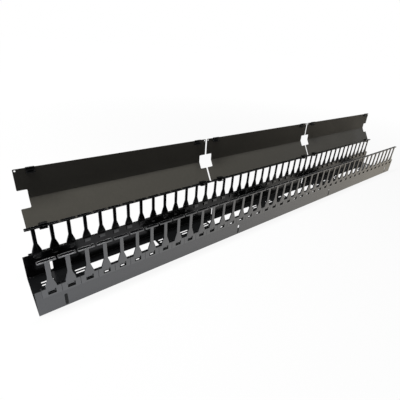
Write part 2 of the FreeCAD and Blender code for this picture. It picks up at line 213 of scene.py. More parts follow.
# %% [markdown]
# Steel parts like these are powder coated: dry paint is sprayed on and baked, so it flows into a fine orange
# peel. Nylon from a mould has a finer grain. Both are black, so they share one recipe: a colour that clouds
# a little, a gloss that isn't even, and a grain that is a bump. A picture of the paint would repeat itself
# along two metres of sheet; noise in real millimetres does not.

# %% Recipe of a black finish
PER_METRE = 1000.0
CLOUD_MM, MOTTLE_MM = 140, 9
CLOUD_SPAN = (0.3, 0.7)
BUMP_STRENGTH = 0.35


def black_finish(name, colours, roughness, peel_mm, peel_depth_mm, specular, ior=1.5):
    """Black surface with a cloudy colour, an uneven gloss and a fine grain.

    Noise scales are cells per metre, so a grain of so many millimetres is 1000 divided by that size. Specular
    is one level, or a pair: the attribute "polish" then leads from the first level to the second."""
    material, tree, output, place = new_material(name)
    cloud = add_node(tree, "ShaderNodeTexNoise", {
        "Vector": place, "Scale": PER_METRE / CLOUD_MM, "Detail": 3.0, "Roughness": 0.55}).outputs["Fac"]
    mottle = add_node(tree, "ShaderNodeTexNoise", {
        "Vector": place, "Scale": PER_METRE / MOTTLE_MM, "Detail": 2.0, "Roughness": 0.6}).outputs["Fac"]
    peel = add_node(tree, "ShaderNodeTexNoise", {
        "Vector": place, "Scale": PER_METRE / peel_mm, "Detail": 1.5, "Roughness": 0.5}).outputs["Fac"]
    share = add_node(tree, "ShaderNodeMath", {0: cloud, 1: mottle}, operation="MULTIPLY").outputs["Value"]
    colour = add_node(tree, "ShaderNodeMix", {
        "Factor": share, "A": linear(colours[0]), "B": linear(colours[1])},
        data_type="RGBA").outputs["Result"]
    rough = add_node(tree, "ShaderNodeMapRange", {
        "Value": cloud, "From Min": CLOUD_SPAN[0], "From Max": CLOUD_SPAN[1],
        "To Min": roughness[0], "To Max": roughness[1]}).outputs["Result"]
    bump = add_node(tree, "ShaderNodeBump", {
        "Height": peel, "Strength": BUMP_STRENGTH, "Distance": peel_depth_mm * MM}).outputs["Normal"]
    if isinstance(specular, tuple):
        polish = add_node(tree, "ShaderNodeAttribute", attribute_name="polish").outputs["Fac"]
        specular = add_node(tree, "ShaderNodeMix", {
            "Factor": polish, "A": specular[0], "B": specular[1]}).outputs["Result"]
    paint = add_node(tree, "ShaderNodeBsdfPrincipled", {
        "Base Color": colour, "Roughness": rough, "Normal": bump, "Specular IOR Level": specular, "IOR": ior})
    tree.links.new(paint.outputs["BSDF"], output.inputs["Surface"])
    return material


print("colour clouds over", CLOUD_MM, "mm and mottles over", MOTTLE_MM, "mm")

# %% [markdown]
# Black gloss shows little colour of its own. What the eye sees on it is mostly the pale floor, reflected in
# its skin, and more so at a low angle. The matt coat of the covers reflects little and shows its own warm
# grey instead. Each finish starts from a typical index for paint or nylon and was then matched to the object.
# Real orange peel is about a millimetre across, and the grain of a mould is finer still. Both are drawn
# coarser so that they still show.

# %% Four finishes
# Semi-gloss powder coat: near black, with a grey sheen on the outer faces, which mirror the floor
channel_coat = black_finish(
    "black_powder_coat", ("#0e0f10", "#161718"), roughness=(0.18, 0.28),
    peel_mm=1.6, peel_depth_mm=0.06, specular=(0.22, 1.0), ior=1.64)
# Matt powder coat: a warm dark grey in the light, almost black in the shade, with hardly any sheen
cover_coat = black_finish(
    "black_matt_powder_coat", ("#54524c", "#625f58"), roughness=(0.40, 0.52),
    peel_mm=1.6, peel_depth_mm=0.10, specular=0.15)
# Nylon from a polished mould: near black, with a sheen like the coat's and a finer grain
nylon = black_finish(
    "black_moulded_nylon", ("#0e0f11", "#161719"), roughness=(0.18, 0.28),
    peel_mm=0.9, peel_depth_mm=0.04, specular=(0.20, 1.0), ior=1.73)
# Nylon from a blasted mould: the deepest black on the object, which makes the clips stand out on the covers
clip_nylon = black_finish(
    "black_matt_nylon", ("#08090a", "#0e0f10"), roughness=(0.35, 0.5),
    peel_mm=0.9, peel_depth_mm=0.06, specular=(0.10, 0.3))
print("finishes:", channel_coat.name, cover_coat.name, nylon.name, clip_nylon.name)

# %% [markdown]
# Gloss isn't even over a real part. Powder reaches the inside of a deep channel badly, so the coat is thin
# and dull there, and a mould is polished where it forms the outer faces and left as machined where it forms
# the inner ones. Two materials on each piece could show that. One attribute, worked out for each face from
# where it lies and looks, gives steps between the two as well.

# %% Polish of each face
# Reaches from the middle plane and levels above the back, then how squarely a face looks a certain way
OUTER_REACH, LEG_REACH = WALL_OUT - 0.1, WALL_OUT - 5.2
HEAD_LEVEL, RIM_LEVEL, RIM_BAND = WALL_TOP + 75, WALL_TOP + 82, 0.5
SIDEWAYS, ENDWAYS, UNDERSIDE = 0.5, 0.3, -0.2
RIM_POLISH, LEG_POLISH = 0.4, 0.45


def mark_polish(mesh):
    """Attribute for the finish: the share of full polish on each face.

    It is 1 on outer faces that look away from the middle plane and on the ends of the heads, less on the
    heads' rims and on the snap legs' inner faces, and 0 on all others."""
    normal, centre = np.empty((2, len(mesh.polygons), 3))
    mesh.polygons.foreach_get("normal", normal.ravel())
    mesh.polygons.foreach_get("center", centre.ravel())
    away, reach = normal[:, 1] * np.sign(centre[:, 1]), np.abs(centre[:, 1]) / MM
    level = centre[:, 2] / MM
    outer = (away > SIDEWAYS) & (reach > OUTER_REACH) & (normal[:, 2] > UNDERSIDE)
    head_end = (np.abs(normal[:, 0]) > ENDWAYS) & (level > HEAD_LEVEL)
    rim = np.abs(level - RIM_LEVEL) < RIM_BAND
    leg = (away < -SIDEWAYS) & (reach < LEG_REACH) & (level < WALL_TOP)
    share = np.select([outer | head_end, rim, leg], [1.0, RIM_POLISH, LEG_POLISH], 0.0)
    mesh.attributes.new("polish", "FLOAT", "FACE").data.foreach_set("value", share)


print("polish: outer faces 1, rims", RIM_POLISH, "and legs", LEG_POLISH)

# %% [markdown]
# A piece is ready when it wears its finish, rides on the body that carries it, and says which CAD node it
# stands for. That is the same for every piece, so one function does it. Flat faces that meet at a sharp angle
# keep a crisp edge, and those of a curve are shaded as one.

# %% Finish a piece
SMOOTH_BELOW = math.radians(38)


def dress(name, mesh, material, body, node):
    """Put a finished mesh in the scene for a CAD node, on that node's body and with its finish."""
    mesh.shade_smooth()
    mesh.set_sharp_from_angle(angle=SMOOTH_BELOW)
    mesh.materials.clear()
    mesh.materials.append(material)
    mark_polish(mesh)
    piece = bpy.data.objects.new(name, mesh)
    bpy.context.scene.collection.objects.link(piece)
    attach(piece, body)
    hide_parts(node)
    return piece


print("edges stay crisp from", round(math.degrees(SMOOTH_BELOW)), "degrees")

# %% [markdown]
# Sheet metal is flat panels joined by bends. A panel is an outline with holes, given a thickness, and its
# punched edges are softened by the paint, so each rim is four loops: a little larger on the two skins,
# and true to size between them. A bend carries the sheet's own cross-section round an arc. A boolean cut
# for each hole would be slow and would leave long slivers, so the holes are part of the outline.

# %% Folded sheet
EDGE_BREAK = 0.3


def punched_panel(outline, holes, thickness, place, joined=()):
    """Flat panel with holes as (points, faces).

    place(uv, depth) sets plan points in space, depth counted from the outer skin. The sides of the outline
    listed in joined go on into a bend: they keep their line and get no rim."""
    breaks = np.full(len(outline), EDGE_BREAK)
    breaks[list(joined)] = 0
    depths = (0, EDGE_BREAK, thickness - EDGE_BREAK, thickness)
    rims = [[inset(outline, breaks), outline, outline, inset(outline, breaks)]]
    rims += [[inset(hole, -EDGE_BREAK), hole, hole, inset(hole, -EDGE_BREAK)] for hole in holes]
    points, faces, start = [], [], 0
    caps = ([], [])
    for number, rim in enumerate(rims):
        count = len(rim[0])
        points.append(np.concatenate([place(loop, depth) for loop, depth in zip(rim, depths)]))
        strip = grid_faces(len(rim), count, start)
        kept = np.ones(count, bool)
        if number == 0:
            kept[list(joined)] = False
        faces += strip.reshape(len(rim) - 1, count, 4)[:, kept].reshape(-1, 4).tolist()
        caps[0].append(np.arange(start, start + count))
        caps[1].append(np.arange(start + 3 * count, start + 4 * count))
        start += 4 * count
    triangles = np.array(tessellate_polygon([rim[0].tolist() for rim in rims]))
    for cap in caps:
        faces += np.concatenate(cap)[triangles].tolist()
    return np.concatenate(points), faces


def bend(half_length, thickness, place, start, end, steps=8):
    """Bend as (points, faces): the sheet's cross-section with softened corners, carried round an arc.

    place(x, angle, depth) sets a point at an angle of the arc."""
    x, depth = chamfered(rectangle((-half_length, 0), (half_length, thickness)), EDGE_BREAK).T
    loops = [place(x, angle, depth) for angle in np.linspace(start, end, steps + 1)]
    return np.concatenate(loops), grid_faces(steps + 1, len(x)).tolist()


def panel_plane(origin, along, across):
    """Place function of a flat panel: origin plus u times along plus v times across, sunk by the depth."""
    outwards = np.cross(along, across)
    return lambda uv, depth: origin + uv[:, :1] * along + uv[:, 1:] * across - depth * outwards


print("a softened edge is", EDGE_BREAK, "mm")

# %% [markdown]
# The channel is one sheet, bent up twice. Its back has four large windows for cables that go through the
# rack and rows of slots for tie straps. Each wall has a latch window under every finger and four upright
# slots for the bolts that hold it to the rack. All of them are punched before the sheet is bent, so each is
# a flat outline on its panel. Their places could be listed one by one; a count and a spacing say the same
# in fewer numbers and show the pattern.

# %% Holes in the channel
PITCH, FINGERS = 44.45, 42
WINDOWS, WINDOW_SPACING = 4, 452.4
WINDOW_SIZE, WINDOW_CORNER = (225, 95), 2.0
TIE_SIZE, TIE_CORNER = (32, 5.5), 2.6
TIE_STEP, TIE_FROM_END, TIE_ROWS = 88.9, 42.85, (39.3, 27.8)
BOLTS, BOLT_SPACING, BOLT_MIDDLE = 4, 588.8, 22.5
BOLT_SIZE, BOLT_CORNER = (7, 34), 3.4
LATCH_SIZE, LATCH_CORNER, LATCH_FROM_TOP = (18.5, 13), 0.8, 3.5
LATCH_MIDDLE = WALL_TOP - LATCH_FROM_TOP - LATCH_SIZE[1] / 2


def row_of(count, spacing):
    """Places of a row about the middle: whole and half numbers of spacings."""
    return (np.arange(count) - (count - 1) / 2) * spacing


def hole_at(centre, size, radius, steps=3):
    """Punched hole of a given size about a centre."""
    half = np.asarray(size, float) / 2
    return rounded_loop(np.asarray(centre) - half, np.asarray(centre) + half, radius, steps)


finger_x = row_of(FINGERS, PITCH)
strip_x = row_of(WINDOWS - 1, WINDOW_SPACING)
end_x = HALF_LENGTH - TIE_FROM_END - np.arange(2) * TIE_STEP
tie_x = np.concatenate([(strip_x[:, None] + row_of(3, TIE_STEP)).ravel(), end_x, -end_x])
tie_y = [side * row for row in TIE_ROWS for side in (1, -1)]
back_holes = [hole_at((x, 0), WINDOW_SIZE, WINDOW_CORNER) for x in row_of(WINDOWS, WINDOW_SPACING)]
back_holes += [hole_at((x, y), TIE_SIZE, TIE_CORNER, steps=4) for x in tie_x for y in tie_y]
wall_holes = [hole_at((x, LATCH_MIDDLE), LATCH_SIZE, LATCH_CORNER, steps=2) for x in finger_x]
bolt_x = row_of(BOLTS, BOLT_SPACING)
wall_holes += [hole_at((x, BOLT_MIDDLE), BOLT_SIZE, BOLT_CORNER, steps=6) for x in bolt_x]
print("holes: back", len(back_holes), "and", len(wall_holes), "in each wall")

# %% [markdown]
# The back and the walls are three panels, and two bends join them. A flat sheet could be bent by a modifier,
# but panels and bends keep every edge where the CAD model has it.

# %% Channel
SHEET, BEND_IN = 1.5, 1.5
BEND_OUT = BEND_IN + SHEET
BACK_HALF = WALL_OUT - BEND_OUT


def channel_bend(side):
    """Bend between the back and the wall at one side (-1 or 1), a quarter turn of the sheet.

    A point is the bend's centre plus the radius left at its depth, at an angle from straight down."""
    def place(x, angle, depth):
        radius = BEND_OUT - depth
        y = side * (BACK_HALF + radius * np.sin(angle))
        return np.column_stack([x, y, BEND_OUT - radius * np.cos(angle)])
    return bend(HALF_LENGTH, SHEET, place, 0, np.pi / 2)


back_outline = rectangle((-HALF_LENGTH, -BACK_HALF), (HALF_LENGTH, BACK_HALF))
wall_outline = rectangle((-HALF_LENGTH, BEND_OUT), (HALF_LENGTH, WALL_TOP))
channel_mesh = mesh_of("channel_sheet", [
    punched_panel(back_outline, back_holes, SHEET, panel_plane(0 * Y, X, -Y), joined=(0, 2)),
    punched_panel(wall_outline, wall_holes, SHEET, panel_plane(-WALL_OUT * Y, X, Z), joined=(0,)),
    punched_panel(wall_outline, wall_holes, SHEET, panel_plane(WALL_OUT * Y, -X, Z), joined=(0,)),
    channel_bend(-1),
    channel_bend(1),
])
channel = dress("channel_sheet", channel_mesh, channel_coat, "channel_body", "channel")
print("channel:", round(2 * HALF_LENGTH, 1), "mm long,", len(channel.data.polygons), "faces")

# %% [markdown]
# A finger is moulded: a saddle that sits on the wall with a skirt outside and a snap leg inside, a stem that
# flares into it, and a flat hollow head. Mouldings are cored out wherever they would be thick, so the head is
# a shallow tray. Each part is a skin through loops: the saddle is its cross-section carried along the wall,
# and the stem and the head are stacks of rounded rectangles. They overlap a little and are joined later.

# %% Saddle, stem and head
FIT_GAP = 0.15
# Keeps the faces of two parts out of one plane, which a boolean can't settle
HAIR = 0.02
# Saddle over the wall, with its skirt outside
SADDLE_HALF, SADDLE_IN, SADDLE_OUT = 21.9, 70.1, 79.1
SADDLE_TOP, SADDLE_SOFT = WALL_TOP + 3, 0.15
SKIRT_IN, SKIRT_END = WALL_OUT + FIT_GAP, 53.0
# Head about the hinge line, with a tray sunk into it
AXIS_Y, AXIS_Z = WALL_OUT - SHEET / 2, WALL_TOP + 80
HEAD_HALF, HEAD_RISE, HEAD_CORNER = np.array([20.0, 5.25]), 2.0, 2.0
HEAD_BOTTOM, HEAD_TOP = AXIS_Z - HEAD_RISE, AXIS_Z + HEAD_RISE
TRAY_RIM, TRAY_DEPTH, TRAY_CORNER = 1.8, 3.0, 0.5
SOFT, EASED, EASED_DOWN = 0.4, 0.8, 0.35
# Stem from inside the saddle up into the head, flared at its foot
ROOT, STEM_LAP = WALL_TOP + 0.8, 0.6
STEM_IN, STEM_CORNER = 74.1, 1.5
FLARE_LEVELS, FLARE_HALVES, FLARE_EASE = (SADDLE_TOP, 84, 105), (13, 11.9, 5), 1.6
FLARE_ROWS = np.linspace(SADDLE_TOP + 2, 110, 16)
EASE_POINTS = 9


def saddle():
    """Saddle and skirt: their section over the wall, carried along the wall."""
    section = np.array([[SADDLE_IN, WALL_TOP], [SKIRT_IN, WALL_TOP], [SKIRT_IN, SKIRT_END],
                        [SADDLE_OUT, SKIRT_END], [SADDLE_OUT, SADDLE_TOP], [SADDLE_IN, SADDLE_TOP]])
    return carried(chamfered(section, EDGE_BREAK), -SADDLE_HALF, SADDLE_HALF, SADDLE_SOFT)


def stem():
    """Stem and flare: rounded loops whose half width follows the flare's outline, eased at its corners.

    The outline is a broken line; at each height the mean over a few millimetres rounds its corners."""
    heights = np.concatenate([[ROOT, SADDLE_TOP], FLARE_ROWS, [HEAD_BOTTOM + STEM_LAP]])
    spread = np.linspace(-FLARE_EASE, FLARE_EASE, EASE_POINTS)
    half = np.interp(heights[:, None] + spread, FLARE_LEVELS, FLARE_HALVES).mean(axis=1)
    loops = [rounded_loop((-width, STEM_IN), (width, SADDLE_OUT - HAIR), STEM_CORNER) for width in half]
    return skin(flat_loops(loops, heights))


def head():
    """Head as an open tray: up its outer side, over its rim, down its inner side and across its floor."""
    low, high = [0, AXIS_Y] - HEAD_HALF, [0, AXIS_Y] + HEAD_HALF
    outer = rounded_loop(low, high, HEAD_CORNER)
    inner = rounded_loop(low + TRAY_RIM, high - TRAY_RIM, TRAY_CORNER)
    loops = [inset(outer, SOFT), outer, outer, inset(outer, EASED), inset(inner, -EASED), inner, inner]
    heights = [HEAD_BOTTOM, HEAD_BOTTOM + SOFT, HEAD_TOP - EASED_DOWN, HEAD_TOP, HEAD_TOP,
               HEAD_TOP - EASED_DOWN, HEAD_TOP - TRAY_DEPTH]
    return skin(flat_loops(loops, heights))


print("head", 2 * HEAD_HALF, "mm, tray", TRAY_DEPTH, "mm deep, skirt", round(WALL_TOP - SKIRT_END, 2), "mm")

# %% [markdown]
# The snap leg goes down inside the wall, and its barb springs out into the latch window. The barb has a flat
# nose, which shows through a window in the skirt, and a stiffening cheek at each side. These are side views
# carried across the leg's width, which is how a moulder would draw them.

# %% Leg and barb
# Leg, and the ledge by which it holds on to the wall
LEG_HALF, LEG_SOFT = 8.4, 0.3
LEG_IN, LEG_OUT, LEG_TOE = SADDLE_IN + HAIR, WALL_OUT - SHEET - FIT_GAP, 0.55
LEG_KNEE, LEG_END, LEDGE = WALL_TOP - 10, WALL_TOP - 14, WALL_TOP - 3.7
# Barb, and how far its corners are sunk into the leg
BARB_HALF, BARB_SOFT, BARB_OUT = 9.15, 0.1, WALL_OUT - 0.3
BARB_BACK, BARB_END = WALL_TOP - 9, WALL_TOP - 13.6
BACK_SUNK, END_SUNK, LEDGE_SUNK = 1.2, 0.5, 0.6
# Nose and cheeks, down to the sill of the skirt's window
NOSE_SIDES, NOSE_CORNER = (-8.9, 6.6), 0.3
NOSE_IN, NOSE_OUT = WALL_OUT - 1.2, SADDLE_OUT - 0.9
NOSE_BOTTOM, NOSE_TOP = 67.6, WALL_TOP - 3.75
CHEEK_INNER, CHEEK_SUNK, CHEEK_SOFT = 5.2, 1.0, 0.05
CHEEK_OUT, CHEEK_TOP, SILL = WALL_OUT - 0.1, WALL_TOP - 8, 58.6


def block(low, high, radius):
    """Plain block with rounded upright corners, low and high given as (x, y, z)."""
    loop = rounded_loop(low[:2], high[:2], radius)
    return skin(flat_loops([loop, loop], [low[2], high[2]]))


def leg():
    """Snap leg: its side view, with the ledge that catches in the latch window, carried across its width."""
    side = np.array([[LEG_IN, ROOT], [LEG_IN, LEG_KNEE], [LEG_OUT - LEG_TOE, LEG_END],
                     [BARB_OUT, LEDGE], [LEG_OUT, LEDGE], [LEG_OUT, ROOT]])
    return carried(side, -LEG_HALF, LEG_HALF, LEG_SOFT)


def barb():
    """Barb under the ledge: a wedge that fills the latch window from side to side."""
    side = np.array([[LEG_OUT - BACK_SUNK, BARB_BACK], [LEG_OUT - END_SUNK, BARB_END],
                     [BARB_OUT - HAIR, LEDGE - HAIR], [LEG_OUT - LEDGE_SUNK, LEDGE - HAIR]])
    return carried(side, -BARB_HALF, BARB_HALF, BARB_SOFT)


def nose():
    """Nose of the barb: a flat-faced block that stands out through the latch window."""
    low_x, high_x = NOSE_SIDES
    return block((low_x, NOSE_IN, NOSE_BOTTOM), (high_x, NOSE_OUT, NOSE_TOP), NOSE_CORNER)


def cheek(side):
    """Stiffening cheek at one side of the barb, which closes that side of the window down to its sill."""
    low_x, high_x = sorted((side * CHEEK_INNER, side * (BARB_HALF - HAIR)))
    profile = np.array([[LEG_OUT - CHEEK_SUNK, BARB_BACK], [LEG_OUT - CHEEK_SUNK, SILL],
                        [BARB_OUT, SILL], [CHEEK_OUT, CHEEK_TOP]])
    return carried(profile, low_x, high_x, CHEEK_SOFT)


print("barb", 2 * BARB_HALF, "mm wide in a latch window of", LATCH_SIZE[0], "mm")

# %% [markdown]
# The parts of a finger still reach into each other, and a moulding is one solid. Booleans suit a few small
# solids like these: differences sink a pocket each side of the stem and the window in the skirt, through
# which the tool that forms the barb is drawn out, and unions add the other parts. It is worked once.

# %% One moulding
POCKET_NEAR, POCKET_FAR, POCKET_WALL, POCKET_CORNER = 14.2, 20.9, 1.1, 0.6
POCKET_FLOOR, CLEAR_ABOVE = WALL_TOP + 0.7, SADDLE_TOP + 2
SKIRT_WINDOW_HALF, SKIRT_WINDOW_TOP, SKIRT_WINDOW_CORNER = 9.25, 72.2, 0.01
CUT_FROM, CUT_TO = SADDLE_OUT - 4, SADDLE_OUT + 2


def combined(name, first, others):
    """Boolean of closed meshes: each of the others is (operation, mesh), worked in turn on the first."""
    base = bpy.data.objects.new(name, first)
    helpers = []
    bpy.context.scene.collection.objects.link(base)
    for operation, mesh in others:
        helper = bpy.data.objects.new("helper", mesh)
        bpy.context.scene.collection.objects.link(helper)
        step = base.modifiers.new("step", "BOOLEAN")
        step.operation, step.solver, step.object = operation, "EXACT", helper
        helpers.append(helper)
    bpy.context.view_layer.update()
    result = bpy.data.meshes.new_from_object(base.evaluated_get(bpy.context.evaluated_depsgraph_get()))
    for spent in [base] + helpers:
        bpy.data.objects.remove(spent)
    result.name = name
    return result


def pocket(low_x, high_x):
    """Block that sinks a pocket into the saddle between two places along it."""
    low = (low_x, SADDLE_IN + POCKET_WALL, POCKET_FLOOR)
    high = (high_x, SADDLE_OUT - POCKET_WALL, CLEAR_ABOVE)
    return block(low, high, POCKET_CORNER)


skirt_window = block((-SKIRT_WINDOW_HALF, CUT_FROM, SILL), (SKIRT_WINDOW_HALF, CUT_TO, SKIRT_WINDOW_TOP),
                     SKIRT_WINDOW_CORNER)
cuts = [pocket(-POCKET_FAR, -POCKET_NEAR), pocket(POCKET_NEAR, POCKET_FAR), skirt_window]
additions = [stem(), head(), leg(), barb(), nose(), cheek(-1), cheek(1)]
steps = [("DIFFERENCE", mesh_of("cut", [cut])) for cut in cuts]
steps += [("UNION", mesh_of("part", [part])) for part in additions]
finger = combined("finger", mesh_of("saddle", [saddle()]), steps)
print("one finger:", len(finger.polygons), "faces")

# %% [markdown]
# All the fingers come from one mould, one for each rack unit on each wall. The front wall has the mirror
# image: y changes its sign, and the faces are listed the other way round so that they still look outwards.
# An array modifier would repeat a finger too, but a CAD node holds the two fingers of one rack unit, and
# each node needs a piece of its own.

# %% Set the fingers
finger_points = np.empty(len(finger.vertices) * 3)
finger.vertices.foreach_get("co", finger_points)
finger_points = finger_points.reshape(-1, 3) / MM
finger_faces = [tuple(face.vertices) for face in finger.polygons]
for number, x in enumerate(finger_x, start=1):
    node = f"finger_pair_{number:02d}"
    hinge_side = (finger_points + x * X, finger_faces)
    front_side = (finger_points * [1, -1, 1] + x * X, [face[::-1] for face in finger_faces])
    dress(f"{node}_moulded", mesh_of(node, [hinge_side, front_side]), nylon, "channel_body", node)
print("fingers:", 2 * FINGERS)

# %% [markdown]
# A cover is one sheet with a shallow fold along its middle. It is easiest to draw shut, where its two halves
# slope alike, and is then swung about the hinge line to where the CAD model has it at rest. Turning the
# object would do the same, but a finished piece has its place in its mesh.

# %% Swing about the hinge
OPEN = math.radians(frame["joints"][0]["range_deg"][1])
SLOPE = math.radians(15)


def swung(points):
    """Shut to open: points turned about the hinge line by the joint's full range."""
    y, z = points[:, 1] - AXIS_Y, points[:, 2] - AXIS_Z
    cos, sin = math.cos(-OPEN), math.sin(-OPEN)
    return np.column_stack([points[:, 0], AXIS_Y + y * cos - z * sin, AXIS_Z + y * sin + z * cos])


print("covers stand open by", round(math.degrees(OPEN), 2), "degrees")

# %% [markdown]
# Both halves of a cover have the same outline: a notch at each end of the fold, so that two covers leave a
# square cable exit where they meet, and rounded corners on the tabs beside it. A bevel could round the
# corners of a finished sheet; here they are quarter circles in the outline, because the notch and the tabs
# have different radii. How far a half reaches follows from the clips that hold its edge over the fingers'
# heads.

# %% Outline of a cover
COVER_SHEET, FOLD_IN = 0.8, 1.5
FOLD_OUT = FOLD_IN + COVER_SHEET
BORE_GAP, CLIP_ROOF, EDGE_REACH = 0.43, 1.45, 4.5
NOTCH_DEPTH, NOTCH_REACH, NOTCH_CORNER, TAB_CORNER = 24.5, 25.5, 3.0, 2.5
ARC_POINTS = 5
BORE = math.hypot(HEAD_HALF[1], HEAD_RISE) + BORE_GAP
COVER_RISE = BORE + CLIP_ROOF
skin_above = AXIS_Y * math.sin(SLOPE) + COVER_RISE + COVER_SHEET
ridge = skin_above / math.cos(SLOPE)
flange = AXIS_Y * math.cos(SLOPE) + EDGE_REACH + ridge * math.sin(SLOPE)
fold_start = FOLD_OUT * math.tan(SLOPE)


def corner_arc(centre, radius, start):
    """Quarter circle that rounds a corner: the centre plus the radius at angles from start on."""
    angle = start + np.linspace(0, np.pi / 2, ARC_POINTS)
    return centre + radius * np.stack([np.cos(angle), np.sin(angle)], axis=1)


def cover_outline(half):
    """One half of a cover laid flat, from the fold line outwards, with its corners rounded."""
    root = half - NOTCH_DEPTH
    right = np.concatenate([
        [[root, fold_start]],
        corner_arc((root + NOTCH_CORNER, NOTCH_REACH - NOTCH_CORNER), NOTCH_CORNER, np.pi / 2)[::-1],
        corner_arc((half - TAB_CORNER, NOTCH_REACH + TAB_CORNER), TAB_CORNER, -np.pi / 2),
        corner_arc((half - TAB_CORNER, flange - TAB_CORNER), TAB_CORNER, 0),
    ])
    return np.concatenate([right, (right * [-1, 1])[::-1]])


print("half a cover reaches", round(flange, 2), "mm from its fold")

# %% [markdown]
# Two panels slope down from the ridge, and a bend with a small radius joins them, as a press brake would
# leave it. A sharp crease would be simpler, but bent sheet never has one. Each panel has a small hole near
# its two outer corners. The place of each cover along the channel is read from its CAD node.

# %% Covers
HOLE_INSET, HOLE_RADIUS = 5.0, 2.25
HOLE_SIZE, HOLE_CORNER = (2 * HOLE_RADIUS, 2 * HOLE_RADIUS), HOLE_RADIUS - HAIR


def cover_mesh(name, low_x, high_x):
    """Cover between two places along the channel: two flanges and the fold between them, swung open.

    A point of the fold is its centre plus the radius left at its depth, at an angle from straight up."""
    half, middle = (high_x - low_x) / 2, (high_x + low_x) / 2
    outline = cover_outline(half)
    fold_side = (len(outline) - 1,)
    corner_x, corner_y = half - HOLE_INSET, flange - HOLE_INSET
    holes = [hole_at((side * corner_x, corner_y), HOLE_SIZE, HOLE_CORNER, steps=5) for side in (-1, 1)]
    top = middle * X + (AXIS_Z + ridge) * Z
    down = -math.sin(SLOPE) * Z
    centre_z = AXIS_Z + ridge - FOLD_OUT / math.cos(SLOPE)

    def place_fold(x, angle, depth):
        radius = FOLD_OUT - depth
        return np.column_stack([middle + x, radius * np.sin(angle), centre_z + radius * np.cos(angle)])
    planes = [panel_plane(top, side * X, side * math.cos(SLOPE) * Y + down) for side in (1, -1)]
    parts = [punched_panel(outline, holes, COVER_SHEET, plane, fold_side) for plane in planes]
    parts.append(bend(half - NOTCH_DEPTH, COVER_SHEET, place_fold, -SLOPE, SLOPE, steps=4))
    return mesh_of(name, [(swung(points), faces) for points, faces in parts])


for number in (1, 2, 3):
    node = f"cover_{number}"
    low, high = (np.array(corner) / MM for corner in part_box(node))
    mesh = cover_mesh(f"{node}_sheet", low[0], high[0])
    cover = dress(f"{node}_sheet", mesh, cover_coat, f"{node}_body", node)
    print(cover.name, len(cover.data.polygons), "faces,", round(high[0] - low[0], 1), "mm long")

# %% [markdown]
# The clips are short lengths of one moulded profile: a jaw that turns on a finger's head, with a lip that
# grips the cover's edge. Their shape is the same all along, so the profile is drawn once in the shut position
# and carried along the clip's width. The clip on the free edge is its mirror image.

# %% Clips
CLIP_WALL, CLIP_LIP, LIP_REACH = 1.95, 1.2, 7.5
CLIP_CORNER, CLIP_SOFT, MOUTH_GAP = 0.3, 0.25, 0.3
MOUTH = HEAD_HALF[1] + MOUTH_GAP
BORE_POINTS = 17


def on_cover(along, above):
    """Point given from the hinge line, along the shut cover's slope and square to it."""
    cos, sin = math.cos(SLOPE), math.sin(SLOPE)
    return [along * cos + above * sin, above * cos - along * sin]


def clip_profile():
    """Side view of a clip about the hinge line: its outside, then its bore, a circle that meets the mouth."""
    wall = BORE + CLIP_WALL
    skin_level = COVER_RISE + COVER_SHEET
    lip_level = skin_level + CLIP_LIP
    wall_top = (COVER_RISE + wall * math.sin(SLOPE)) / math.cos(SLOPE)
    outside = np.array([
        [MOUTH, -BORE], [wall, -BORE], [wall, BORE * math.tan(math.pi / 8)],
        on_cover(EDGE_REACH + CLIP_LIP, lip_level), on_cover(EDGE_REACH - LIP_REACH, lip_level),
        on_cover(EDGE_REACH - LIP_REACH, skin_level), on_cover(EDGE_REACH, skin_level),
        on_cover(EDGE_REACH, COVER_RISE), [-wall, wall_top], [-wall, -BORE], [-MOUTH, -BORE],
    ])
    jaw = math.asin(MOUTH / BORE)
    angle = np.linspace(1.5 * math.pi - jaw, jaw - 0.5 * math.pi, BORE_POINTS)
    bore = BORE * np.stack([np.cos(angle), np.sin(angle)], axis=1)
    return np.concatenate([chamfered(outside, CLIP_CORNER)[1:-1], bore])


def clip_mesh(name, low_x, high_x, side):
    """Clip between two places along the channel, on the hinge side (1) or the free edge (-1)."""
    points, faces = carried(clip_profile(), low_x, high_x, CLIP_SOFT)
    points = points * [1, side, 1] + [0, side * AXIS_Y, AXIS_Z]
    return mesh_of(name, [(swung(points), faces)])


for number in (1, 2, 3):
    for letter in "ab":
        for kind, side in (("hinge", 1), ("latch", -1)):
            node = f"{kind}_clip_{number}{letter}"
            low, high = (np.array(corner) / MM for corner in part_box(node))
            mesh = clip_mesh(node, low[0], high[0], side)
            dress(f"{node}_moulded", mesh, clip_nylon, f"cover_{number}_body", node)
print("clips: 12, bore", round(2 * BORE, 2), "mm")

# %% [markdown]
# The studio is a pale floor under one long softbox, as a product this long would be lit. The floor lies just
# under the channel's back, so the two don't share a plane.

# %% Floor
FLOOR_DROP, FLOOR_HALF = 0.0004, 20.0
floor_corners = rectangle((-FLOOR_HALF, -FLOOR_HALF), (FLOOR_HALF, FLOOR_HALF))
floor_mesh = bpy.data.meshes.new("floor")
floor_mesh.from_pydata(np.insert(floor_corners, 2, -FLOOR_DROP, axis=1).tolist(), [], [(0, 1, 2, 3)])
floor = bpy.data.objects.new("floor", floor_mesh)
bpy.context.scene.collection.objects.link(floor)
print("floor", 2 * FLOOR_HALF, "m square")

# %% [markdown]
# The background is white because the floor and the horizon are white to the camera and to reflections, and
# not because the lamp is strong: the floor glows, though it is no lamp. Close to the object a part of that
# white is matt paint, which takes the shadow. The sheen on the real object is cooler at the near end and
# warmer at the far end, so the glow that reflections see is a painted reflection colour, cooler near, warmer
# far.

# %% Floor glow and paint
NEAR, FAR, NEAR_GLOW = 1.0, 3.0, 0.92
TINT_FROM, TINT_TO = -1.0, 1.0
WHITE, COOL_WHITE, WARM_WHITE, MATT_GREY = "#ffffff", "#f6f9ff", "#fff6e6", "#4c4c4c"
